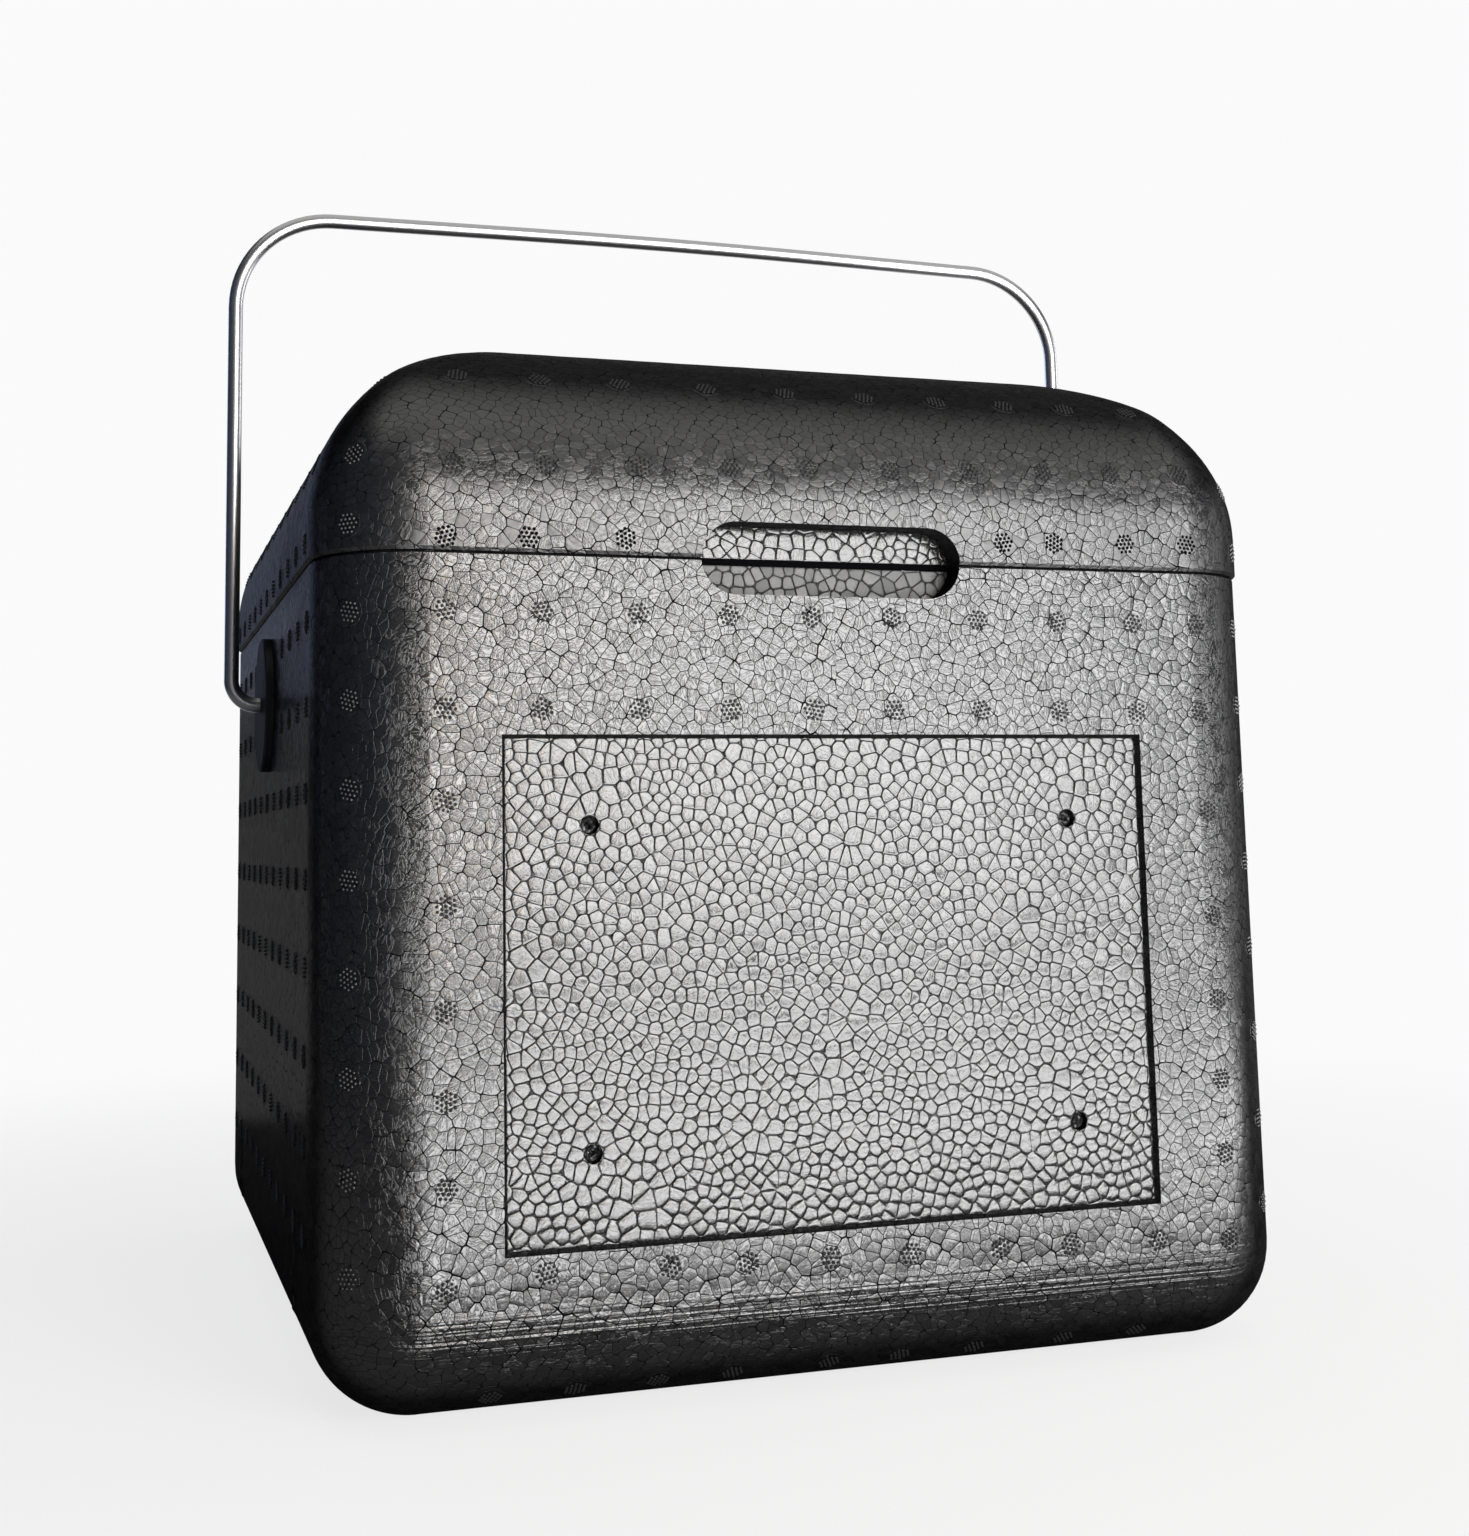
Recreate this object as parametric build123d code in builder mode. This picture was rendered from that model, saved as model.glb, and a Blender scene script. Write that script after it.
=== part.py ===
"""Insulated milk delivery box in black bead-moulded polypropylene foam (EPP).

A foam tub and a domed foam lid meet at a parting plane.  The lid's plug rim
sits in the tub's mouth, and a finger notch is moulded half into each.  A bent
stainless wire bail turns in two flanged plastic hubs, which are snapped
through the tub's side walls and clamp them against backing plates inside.

Frame: origin at the centre of the underside, +Z up, the front faces -Y.
Lengths are in millimetres and angles in degrees.
"""

import os
from math import cos, radians, sin, tan

from build123d import *

os.makedirs("parts", exist_ok=True)

# ---- Driving dimensions -----------------------------------------------------

# Lid and tub, outside
lid_width = 330.0  # along X
lid_depth = 350.0  # along Y
overall_height = 341.0  # underside of the tub to the top of the lid
parting_height = 259.5  # where the lid rests on the tub
lid_overhang = 0.75  # lid beyond the tub, all round
corner_radius = 32.5  # upright corners, seen from above
base_radius = 32.0  # round edge under the tub
rim_chamfer = 1.0  # on both lips of the parting line

# Dome of the lid: a quarter ellipse from the skirt to the flat top
dome_run = 85.0
dome_rise = 68.0
dome_sections = 13
corner_shrink = 0.85  # loss of corner radius for each millimetre of inset
smallest_corner = 10.0

# Foam thickness and the cavity
wall = 26.0
base_thickness = 30.0
cavity_draft = 1.0
cavity_corner = 16.0
floor_radius = 14.0
mouth_chamfer = 2.0

# Plug rim under the lid, and the hollow above it
plug_depth = 10.0
plug_gap = 0.6
plug_wall = 12.0
plug_chamfer = 3.0
plug_corner = cavity_corner - plug_gap
hollow_run = 58.0
hollow_rise = 42.0
lid_thickness = 26.0  # at the crown

# Finger notch, half in the lid and half in the tub
notch_width = 90.0
notch_height = 23.5
notch_depth = 9.5

# Recessed panel on the front, with four screw-head pits
panel_width = 219.5
panel_height = 154.0
panel_centre_height = 126.2
panel_depth = 2.2
panel_wall_angle = 25.0
pit_diameter = 6.0
pit_depth = 3.0
pit_spacing_x = 164.0
pit_spacing_z = 98.5

# Wire bail
wire_diameter = 5.6
bail_width = 356.0  # between the centre lines of the legs
pivot_height = 224.5
bail_height = 420.3  # centre line at the middle of the hand bar
bar_bow = 2.4  # rise of the hand bar from its corners to its middle
bar_bow_radius = 4500.0
bail_corner_radius = 38.0
pivot_bend_radius = 9.5
wire_end_chamfer = 0.6

# Hubs, backing plates and retaining caps, from outside to inside
flange_diameter = 51.0
flange_proud = 3.0
flange_seat = 0.5  # depth of the flange's seat in the foam
flange_edge = 0.9
sleeve_diameter = 14.0
sleeve_gap = 0.1
pivot_gap = 0.08  # running clearance round the wire
boss_diameter = 46.0
boss_proud = 0.9
plate_diameter = 40.0
plate_thickness = 3.0
plate_edge = 0.8
barb_diameter = 15.6
barb_length = 2.0
barb_angle = 25.0
barb_slot = 1.8
barb_slot_depth = 9.0
cap_gap = 0.2  # end play between the sleeve and the cap
cap_flange_diameter = 13.0
cap_flange_thickness = 0.8
cap_dome_diameter = 8.6
cap_dome_length = 5.0
cap_crown_radius = 1.5
cap_crown_thickness = 1.0
cap_grip = 0.02  # the cap's bore is this much tighter than the wire

# ---- Worked-out dimensions --------------------------------------------------

tub_width = lid_width - 2 * lid_overhang
tub_depth = lid_depth - 2 * lid_overhang
mouth_width = tub_width - 2 * wall
mouth_depth = tub_depth - 2 * wall
plug_width = mouth_width - 2 * plug_gap
plug_length = mouth_depth - 2 * plug_gap
dome_spring = overall_height - dome_rise
skirt_height = dome_spring - parting_height
hollow_width = plug_width - 2 * plug_wall
hollow_length = plug_length - 2 * plug_wall
hollow_spring = overall_height - lid_thickness - hollow_rise
front_face = -tub_depth / 2

wall_outside = tub_width / 2
wall_inside = mouth_width / 2 - (parting_height - pivot_height) * tan(radians(cavity_draft))
plate_seat = wall_inside - boss_proud
barb_start = plate_seat - plate_thickness
sleeve_end = barb_start - barb_length
cap_seat = sleeve_end - cap_gap
wire_end = cap_seat - cap_dome_length + cap_crown_thickness


def dome(width, depth, corner, spring, run, rise):
    """Level sections, to be lofted, of a dome whose sides are a quarter ellipse."""
    sections = []
    for step in range(dome_sections):
        angle = radians(90 * step / (dome_sections - 1))
        inset = run * (1 - cos(angle))
        section_corner = max(corner - corner_shrink * inset, smallest_corner)
        with BuildSketch(Plane.XY.offset(spring + rise * sin(angle))) as section:
            RectangleRounded(width - 2 * inset, depth - 2 * inset, section_corner)
        sections.append(section.sketch)
    return sections


def pivot_plane(side, distance):
    """Plane square to the pivot axis; its normal points away from the box."""
    return Plane(
        origin=(side * distance, 0, pivot_height),
        x_dir=(0, 1, 0),
        z_dir=(side, 0, 0),
    )


def distance_from_middle(face):
    """How far a face is from the box's middle plane, X = 0."""
    return abs(face.center().X)


def front_plane(depth, height):
    """Plane parallel to the front of the tub, at a depth behind it."""
    return Plane(
        origin=(0, front_face + depth, height),
        x_dir=(1, 0, 0),
        z_dir=(0, -1, 0),
    )


# ---- Tub --------------------------------------------------------------------

with BuildPart() as tub:
    with BuildSketch():
        RectangleRounded(tub_width, tub_depth, corner_radius)
    extrude(amount=parting_height)
    fillet(tub.faces().sort_by(Axis.Z)[0].edges(), base_radius)
    chamfer(tub.faces().sort_by(Axis.Z)[-1].edges(), rim_chamfer)

    # Cavity for the bottles, drafted so that the moulding leaves its tool
    with BuildSketch(Plane.XY.offset(parting_height)):
        RectangleRounded(mouth_width, mouth_depth, cavity_corner)
    extrude(amount=base_thickness - parting_height, taper=cavity_draft, mode=Mode.SUBTRACT)
    cavity_floor = tub.faces().filter_by(Axis.Z).sort_by(Axis.Z)[1]
    fillet(cavity_floor.edges(), floor_radius)
    rim = tub.faces().filter_by(Axis.Z).sort_by(Axis.Z)[-1]
    chamfer(rim.inner_wires()[0].edges(), mouth_chamfer)

    # Flat bosses inside, seats outside and holes through, for the two hubs
    for side in (-1, 1):
        with BuildSketch(pivot_plane(side, plate_seat)):
            Circle(boss_diameter / 2)
        extrude(amount=wall / 2)
        with BuildSketch(pivot_plane(side, wall_outside)):
            Circle(flange_diameter / 2 + sleeve_gap)
        extrude(amount=-flange_seat, mode=Mode.SUBTRACT)
        with BuildSketch(pivot_plane(side, wall_outside)):
            Circle(sleeve_diameter / 2 + sleeve_gap)
        extrude(amount=-2 * wall, mode=Mode.SUBTRACT)

    # Lower half of the finger notch
    with BuildSketch(front_plane(notch_depth, parting_height)):
        SlotOverall(notch_width, notch_height)
    extrude(amount=2 * notch_depth, mode=Mode.SUBTRACT)

    # Recessed panel with sloping walls, and the pits left by four screw heads
    with BuildSketch(front_plane(0, panel_centre_height)):
        Rectangle(panel_width, panel_height)
    extrude(amount=-panel_depth, taper=panel_wall_angle, mode=Mode.SUBTRACT)
    with BuildSketch(front_plane(0, panel_centre_height)):
        with GridLocations(pit_spacing_x, pit_spacing_z, 2, 2):
            Circle(pit_diameter / 2)
    extrude(amount=-(panel_depth + pit_depth), mode=Mode.SUBTRACT)

tub.part.label = "tub"
export_step(tub.part, "parts/tub.step")

# ---- Lid --------------------------------------------------------------------

with BuildPart() as lid:
    with BuildSketch(Plane.XY.offset(parting_height)):
        RectangleRounded(lid_width, lid_depth, corner_radius)
    extrude(amount=skirt_height)
    chamfer(lid.faces().sort_by(Axis.Z)[0].edges(), rim_chamfer)
    loft(dome(lid_width, lid_depth, corner_radius, dome_spring, dome_run, dome_rise))

    # Upper half of the finger notch
    with BuildSketch(front_plane(notch_depth, parting_height)):
        SlotOverall(notch_width, notch_height)
    extrude(amount=2 * notch_depth, mode=Mode.SUBTRACT)

    # Plug rim that centres the lid in the tub's mouth
    with BuildSketch(Plane.XY.offset(parting_height - plug_depth)):
        RectangleRounded(plug_width, plug_length, plug_corner)
    extrude(amount=plug_depth)
    chamfer(lid.faces().sort_by(Axis.Z)[0].edges(), plug_chamfer)

    # Hollow inside the rim and the dome
    with BuildSketch(Plane.XY.offset(parting_height - plug_depth)):
        RectangleRounded(hollow_width, hollow_length, plug_corner)
    extrude(amount=hollow_spring - parting_height + plug_depth, mode=Mode.SUBTRACT)
    loft(
        dome(hollow_width, hollow_length, plug_corner, hollow_spring, hollow_run, hollow_rise),
        mode=Mode.SUBTRACT,
    )

lid.part.label = "lid"
export_step(lid.part, "parts/lid.step")

# ---- Wire bail --------------------------------------------------------------

bail_half = bail_width / 2
bar_corner_height = bail_height - bar_bow

with BuildPart() as handle:
    with BuildLine() as bail_path:
        FilletPolyline(
            (-wire_end, 0, pivot_height),
            (-bail_half, 0, pivot_height),
            (-bail_half, 0, bar_corner_height),
            (0, 0, bail_height),
            (bail_half, 0, bar_corner_height),
            (bail_half, 0, pivot_height),
            (wire_end, 0, pivot_height),
            radius=[
                pivot_bend_radius,
                bail_corner_radius,
                bar_bow_radius,
                bail_corner_radius,
                pivot_bend_radius,
            ],
        )
    with BuildSketch(Plane(origin=bail_path.line @ 0, z_dir=bail_path.line % 0)):
        Circle(wire_diameter / 2)
    sweep()
    wire_tips = handle.faces().filter_by(Axis.X).sort_by(Axis.X)
    chamfer(wire_tips.edges(), wire_end_chamfer)

handle.part.label = "handle"
export_step(handle.part, "parts/handle.step")

# ---- Hub fittings, one set in each side wall --------------------------------

for side, side_name in ((-1, "left"), (1, "right")):
    # Flanged hub: a disc outside, and a split barbed sleeve through the wall
    with BuildPart() as hub:
        with BuildSketch(pivot_plane(side, wall_outside - flange_seat)):
            Circle(flange_diameter / 2)
        extrude(amount=flange_seat + flange_proud)
        outer_face = hub.faces().filter_by(Axis.X).sort_by(distance_from_middle)[-1]
        fillet(outer_face.edges(), flange_edge)
        with BuildSketch(pivot_plane(side, wall_outside)):
            Circle(sleeve_diameter / 2)
        extrude(amount=barb_start - wall_outside)
        with BuildSketch(pivot_plane(side, barb_start)):
            Circle(barb_diameter / 2)
        extrude(amount=-barb_length, taper=barb_angle)
        with BuildSketch(pivot_plane(side, sleeve_end)):
            Rectangle(barb_diameter, barb_slot)
            Rectangle(barb_slot, barb_diameter)
        extrude(amount=barb_slot_depth, mode=Mode.SUBTRACT)
        with BuildSketch(pivot_plane(side, sleeve_end)):
            Circle(wire_diameter / 2 + pivot_gap)
        extrude(amount=wall_outside + flange_proud - sleeve_end, mode=Mode.SUBTRACT)
    hub.part.label = f"{side_name}_hub"
    export_step(hub.part, f"parts/{side_name}_hub.step")

    # Backing plate that the barbs hold against the boss inside the wall
    with BuildPart() as plate:
        with BuildSketch(pivot_plane(side, barb_start)):
            Circle(plate_diameter / 2)
            Circle(sleeve_diameter / 2 + sleeve_gap, mode=Mode.SUBTRACT)
        extrude(amount=plate_thickness)
        inner_face = plate.faces().filter_by(Axis.X).sort_by(distance_from_middle)[0]
        chamfer(inner_face.outer_wire().edges(), plate_edge)
    plate.part.label = f"{side_name}_backing_plate"
    export_step(plate.part, f"parts/{side_name}_backing_plate.step")

    # Push-on cap that keeps the wire's end from drawing out of the hub
    with BuildPart() as cap:
        with BuildSketch(pivot_plane(side, cap_seat)):
            Circle(cap_flange_diameter / 2)
        extrude(amount=-cap_flange_thickness)
        with BuildSketch(pivot_plane(side, cap_seat)):
            Circle(cap_dome_diameter / 2)
        extrude(amount=-cap_dome_length)
        crown = cap.faces().filter_by(Axis.X).sort_by(distance_from_middle)[0]
        fillet(crown.edges(), cap_crown_radius)
        with BuildSketch(pivot_plane(side, cap_seat)):
            Circle(wire_diameter / 2 - cap_grip)
        extrude(amount=wire_end - cap_seat, mode=Mode.SUBTRACT)
    cap.part.label = f"{side_name}_retaining_cap"
    export_step(cap.part, f"parts/{side_name}_retaining_cap.step")
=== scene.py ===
"""Looks of the insulated milk delivery box: black bead foam, a steel bail and plastic hubs."""

from math import cos, pi, radians, sin

import bpy
import numpy as np
from mathutils import Euler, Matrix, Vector
from mathutils.bvhtree import BVHTree


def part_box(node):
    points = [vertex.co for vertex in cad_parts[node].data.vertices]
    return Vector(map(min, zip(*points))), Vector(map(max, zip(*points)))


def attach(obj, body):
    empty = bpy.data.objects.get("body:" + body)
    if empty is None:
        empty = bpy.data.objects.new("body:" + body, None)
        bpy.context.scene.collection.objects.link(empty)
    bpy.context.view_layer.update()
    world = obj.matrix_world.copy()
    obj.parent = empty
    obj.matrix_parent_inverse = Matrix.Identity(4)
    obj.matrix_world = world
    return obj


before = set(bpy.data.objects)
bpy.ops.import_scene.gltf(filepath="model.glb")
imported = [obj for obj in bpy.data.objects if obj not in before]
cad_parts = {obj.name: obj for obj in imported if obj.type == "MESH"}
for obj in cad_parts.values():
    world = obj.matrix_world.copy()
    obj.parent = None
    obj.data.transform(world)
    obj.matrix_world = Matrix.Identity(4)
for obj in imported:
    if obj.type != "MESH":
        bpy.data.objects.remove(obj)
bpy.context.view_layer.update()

MM = 0.001  # a millimetre in the scene's metres

# ---- Places taken from the CAD frame ----------------------------------------

tub_low, tub_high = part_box("tub")
front_face = tub_low.y
parting_height = tub_high.z

# Recesses in the front, in mm, as the solids have them
PANEL_WIDTH, PANEL_HEIGHT, PANEL_CENTRE = 219.5, 154.0, 126.2
PANEL_DEPTH, PANEL_SLOPE = 2.2, 1.03
PIT_SPACING, PIT_RADIUS, PIT_DEPTH = (164.0, 98.5), 3.0, 3.0
NOTCH_WIDTH, NOTCH_HEIGHT, NOTCH_DEPTH = 90.0, 23.5, 9.5
PIVOT_HEIGHT = 224.5
PARTING_LEVEL = 259.5  # where the lid meets the tub

# ---- Camera and stage -------------------------------------------------------

IMAGE_WIDTH = 1469
IMAGE_HEIGHT = 1536
FOCAL_PIXELS = 1887.8
OPTICAL_AXIS = (682.2, 611.4)  # pixels from the image's left and top
CAMERA_PLACE = (-228.9, -738.0, 170.0)  # mm
CAMERA_ANGLES = (96.942, 0.990, -17.332)  # degrees
SENSOR = 36.0  # mm, along the image's longer side

# Stage, in metres
FLOOR_RADIUS = 6.0
FLOOR_SIDES = 96
WALL_ABOVE_SWEEP = 0.6
SWEEP_DISTANCE = 2.6
SWEEP_BEHIND = 0.8  # further back than the sweep's distance from the camera
SWEEP_WIDTH = 3.1
SWEEP_HEIGHT = 2.4
SWEEP_BEND = 0.5
SWEEP_STEPS = 16
SWEEP_ABOVE_FLOOR = 0.0005


def make_camera():
    """Camera at the eye's place, with the frame shifted off the optical axis."""
    data = bpy.data.cameras.new("camera")
    data.sensor_width = SENSOR
    data.lens = FOCAL_PIXELS * SENSOR / IMAGE_HEIGHT
    data.shift_x = (IMAGE_WIDTH / 2 - OPTICAL_AXIS[0]) / IMAGE_HEIGHT
    data.shift_y = (OPTICAL_AXIS[1] - IMAGE_HEIGHT / 2) / IMAGE_HEIGHT
    data.clip_start = 0.01
    camera = bpy.data.objects.new("camera", data)
    camera.location = Vector(CAMERA_PLACE) * MM
    camera.rotation_euler = Euler([radians(angle) for angle in CAMERA_ANGLES])
    bpy.context.scene.collection.objects.link(camera)
    bpy.context.scene.camera = camera


def make_object(name, vertices, faces, smooth=True):
    """Mesh object from lists of vertices and faces, in metres."""
    mesh = bpy.data.meshes.new(name)
    mesh.from_pydata(vertices, [], faces)
    mesh.update()
    mesh.polygons.foreach_set("use_smooth", [smooth] * len(mesh.polygons))
    made = bpy.data.objects.new(name, mesh)
    bpy.context.scene.collection.objects.link(made)
    return made


def dress(piece, material):
    """Gives a piece one material, in place of any it has."""
    piece.data.materials.clear()
    piece.data.materials.append(material)
    return piece


# ---- Materials --------------------------------------------------------------

BEAD = 4.2  # mm, spacing of the foam's beads
SKIN_BEAD = 3.8  # mm, the same where the skin is pressed flat
PILLOW = 0.035  # mm, rise of a pressed bead's middle
JOINT_DEPTH = 0.08  # mm
BEAD_LEAN = 0.05
BEAD_WARP = 1.3  # mm, how far the beads' outlines wander
CRINKLE = 0.055  # mm, depth of the creases in a bead's skin
CRINKLE_SIZE = 1.1  # mm
STREAK_DEPTH = 1.1  # mm
STREAK_WIDTH = 1.3  # mm
SHEET_TURN = 29  # degrees, so that no row of beads runs along an edge
RIDGE = 516  # mm, up a wall and over the lid to its middle
SKIN_SHINE = (0.11, 0.19)  # roughness, from the glossiest bead to the dullest
LID_WEAR = 0.10  # roughness that handling adds on the lid
SKIN_REACH = (165 * MM, 175 * MM, 0.0)  # from the middle to the outside walls


def paint(hex_colour):
    """Linear colour for a shader, from an sRGB hex string."""
    channels = [int(hex_colour[i : i + 2], 16) / 255 for i in (1, 3, 5)]
    linear = [c / 12.92 if c <= 0.04045 else ((c + 0.055) / 1.055) ** 2.4 for c in channels]
    return (*linear, 1.0)


def node(tree, kind, feeds=None, **settings):
    """Adds a shader node; settings set its properties, feeds set or link its inputs."""
    made = tree.nodes.new(kind)
    for name, value in settings.items():
        setattr(made, name, value)
    for socket, source in (feeds or {}).items():
        if isinstance(source, bpy.types.NodeSocket):
            tree.links.new(source, made.inputs[socket])
        else:
            made.inputs[socket].default_value = source
    return made


def new_material(name):
    """Empty node material, with its tree and its output node."""
    material = bpy.data.materials.new(name)
    material.use_nodes = True
    tree = material.node_tree
    tree.nodes.clear()
    return material, tree, node(tree, "ShaderNodeOutputMaterial")


def finish_black(tree, output, colour, roughness, bump, dull_share=None, shine=1.0, most=0.935):
    """Glossy melted skin that turns dull in gaps and where it is seen along the surface."""
    glossy = node(
        tree, "ShaderNodeBsdfPrincipled",
        {"Base Color": colour, "Roughness": roughness, "IOR": 1.49, "Specular IOR Level": shine,
         "Normal": bump.outputs[0]},
    )
    facing = node(tree, "ShaderNodeLayerWeight", {"Blend": 0.5}).outputs["Facing"]
    share = node(
        tree, "ShaderNodeMapRange",
        {"Value": facing, "From Min": 0.25, "From Max": 0.60, "To Min": 0.0, "To Max": most},
        interpolation_type="SMOOTHSTEP",
    ).outputs[0]
    if dull_share:
        share = node(
            tree, "ShaderNodeMath", {0: share, 1: dull_share}, operation="MAXIMUM"
        ).outputs[0]
    dull = node(tree, "ShaderNodeBsdfDiffuse", {"Color": colour})
    foam = node(
        tree, "ShaderNodeMixShader", {0: share, 1: glossy.outputs[0], 2: dull.outputs[0]}
    )
    tree.links.new(foam.outputs[0], output.inputs[0])


def crease_lines(tree, place):
    """Thin creases along the middle level of a fine noise: 0 in a crease and 1 between."""
    noise = node(
        tree, "ShaderNodeTexNoise",
        {"Vector": place, "Scale": 1 / (CRINKLE_SIZE * MM), "Detail": 2.0, "Roughness": 0.6,
         "Distortion": 0.8},
    ).outputs["Fac"]
    from_middle = node(
        tree, "ShaderNodeMath",
        {0: node(tree, "ShaderNodeMath", {0: noise, 1: 0.5}, operation="SUBTRACT").outputs[0]},
        operation="ABSOLUTE",
    ).outputs[0]
    return node(
        tree, "ShaderNodeMapRange", {"Value": from_middle, "From Min": 0.0, "From Max": 0.09},
        interpolation_type="SMOOTHSTEP",
    ).outputs[0]


def moulded_bead_foam(name):
    """Steam-moulded polypropylene bead foam, dyed black through.

    The skin is a flat mosaic of pressed beads, each with its own slight lean, gloss and
    fine crinkles, between thin sunken joints with a few open corners.  Depths are in mm.
    """
    material, tree, output = new_material(name)
    texture_place = node(tree, "ShaderNodeTexCoord")
    place = texture_place.outputs["Object"]
    height_up = node(tree, "ShaderNodeSeparateXYZ", {0: place}).outputs["Z"]

    # Unfold the surface: one sheet runs up the front, over the top and down the
    # back, and one runs round each side, so that the beads keep their size
    half = node(tree, "ShaderNodeVectorMath", {0: place}, operation="SIGN").outputs[0]
    distance = node(tree, "ShaderNodeVectorMath", {0: place}, operation="ABSOLUTE").outputs[0]
    inset = node(
        tree, "ShaderNodeVectorMath", {0: SKIN_REACH, 1: distance}, operation="SUBTRACT"
    ).outputs[0]
    on_dome = node(
        tree, "ShaderNodeMapRange", {"Value": height_up, "From Min": 270 * MM, "From Max": 290 * MM}
    ).outputs[0]
    on_base = node(
        tree, "ShaderNodeMapRange",
        {"Value": height_up, "From Min": 18 * MM, "From Max": 34 * MM,
         "To Min": 1.0, "To Max": 0.0},
    ).outputs[0]
    upper = node(tree, "ShaderNodeMath", {0: on_dome, 1: on_base}, operation="SUBTRACT").outputs[0]
    on_wall = node(
        tree, "ShaderNodeMath",
        {0: 1.0, 1: node(tree, "ShaderNodeMath", {0: upper}, operation="ABSOLUTE").outputs[0]},
        operation="SUBTRACT",
    ).outputs[0]
    climb = node(
        tree, "ShaderNodeVectorMath", {0: inset, 1: upper, 2: height_up}, operation="MULTIPLY_ADD"
    ).outputs[0]
    to_ridge = node(
        tree, "ShaderNodeVectorMath", {0: (RIDGE * MM,) * 3, 1: climb}, operation="SUBTRACT"
    ).outputs[0]
    up = node(
        tree, "ShaderNodeSeparateXYZ",
        {0: node(tree, "ShaderNodeVectorMath", {0: half, 1: to_ridge},
                 operation="MULTIPLY").outputs[0]},
    )
    inset_parts = node(tree, "ShaderNodeSeparateXYZ", {0: inset})
    round_corner = node(
        tree, "ShaderNodeCombineXYZ",
        {"X": inset_parts.outputs["Y"], "Y": inset_parts.outputs["X"]},
    ).outputs[0]
    round_corner = node(
        tree, "ShaderNodeVectorMath", {0: round_corner, 1: on_wall}, operation="MULTIPLY"
    ).outputs[0]
    across = node(
        tree, "ShaderNodeSeparateXYZ",
        {0: node(tree, "ShaderNodeVectorMath", {0: half, 1: round_corner, 2: place},
                 operation="MULTIPLY_ADD").outputs[0]},
    )
    front_sheet = node(
        tree, "ShaderNodeCombineXYZ", {"X": across.outputs["X"], "Y": up.outputs["Y"], "Z": 0.0}
    ).outputs[0]
    side_sheet = node(
        tree, "ShaderNodeCombineXYZ", {"X": across.outputs["Y"], "Y": up.outputs["X"], "Z": 0.0}
    ).outputs[0]
    drift = node(
        tree, "ShaderNodeTexNoise", {"Vector": place, "Scale": 1 / (9 * MM), "Detail": 1.0}
    )
    turn = node(
        tree, "ShaderNodeSeparateXYZ",
        {0: node(tree, "ShaderNodeVectorMath", {0: texture_place.outputs["Normal"]},
                 operation="ABSOLUTE").outputs[0]},
    )
    other = node(
        tree, "ShaderNodeMath", {0: turn.outputs["Y"], 1: turn.outputs["Z"]}, operation="MAXIMUM"
    ).outputs[0]
    uneven = node(
        tree, "ShaderNodeMath", {0: drift.outputs["Fac"], 1: 0.5, 2: turn.outputs["X"]},
        operation="MULTIPLY_ADD",
    ).outputs[0]
    is_side = node(
        tree, "ShaderNodeMath",
        {0: uneven,
         1: node(tree, "ShaderNodeMath", {0: other, 1: 0.15}, operation="ADD").outputs[0]},
        operation="GREATER_THAN",
    ).outputs[0]
    sheet = node(
        tree, "ShaderNodeMix", {"Factor": is_side, 4: front_sheet, 5: side_sheet},
        data_type="VECTOR",
    ).outputs[1]
    # Level faces inside, such as the rim and the floor, take the plan instead
    level = node(
        tree, "ShaderNodeMath", {0: turn.outputs["Z"], 1: 0.75}, operation="GREATER_THAN"
    ).outputs[0]
    level = node(tree, "ShaderNodeMath", {0: level, 1: on_wall}, operation="MULTIPLY").outputs[0]
    plan = node(
        tree, "ShaderNodeVectorMath", {0: place, 1: (1.0, 1.0, 0.0)}, operation="MULTIPLY"
    ).outputs[0]
    sheet = node(
        tree, "ShaderNodeMix", {"Factor": level, 4: sheet, 5: plan}, data_type="VECTOR"
    ).outputs[1]
    aslant = node(
        tree, "ShaderNodeVectorRotate", {"Vector": sheet, "Angle": radians(SHEET_TURN)},
        rotation_type="Z_AXIS",
    ).outputs[0]
    warped = node(
        tree, "ShaderNodeVectorMath",
        {0: drift.outputs["Color"], 1: (BEAD_WARP * MM, BEAD_WARP * MM, 0.0), 2: aslant},
        operation="MULTIPLY_ADD",
    ).outputs[0]

    cell_feeds = {"Vector": warped, "Scale": 1 / (SKIN_BEAD * MM), "Randomness": 0.88}
    cell = node(tree, "ShaderNodeTexVoronoi", cell_feeds, feature="F1", voronoi_dimensions="2D")
    edge = node(
        tree, "ShaderNodeTexVoronoi", cell_feeds, feature="DISTANCE_TO_EDGE",
        voronoi_dimensions="2D",
    ).outputs["Distance"]
    crown = node(
        tree, "ShaderNodeMapRange", {"Value": edge, "From Min": 0.0, "From Max": 0.30},
        interpolation_type="SMOOTHSTEP",
    ).outputs[0]
    # Joints are hair-thin between two beads and open where three rounded beads meet
    joint_width = node(
        tree, "ShaderNodeMapRange",
        {"Value": cell.outputs["Distance"], "From Min": 0.60, "From Max": 0.88,
         "To Min": 0.022, "To Max": 0.060},
    ).outputs[0]
    joint = node(
        tree, "ShaderNodeMapRange",
        {"Value": node(tree, "ShaderNodeMath", {0: joint_width, 1: edge},
                       operation="SUBTRACT").outputs[0],
         "From Min": -0.012, "From Max": 0.012},
        interpolation_type="SMOOTHSTEP",
    ).outputs[0]

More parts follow.
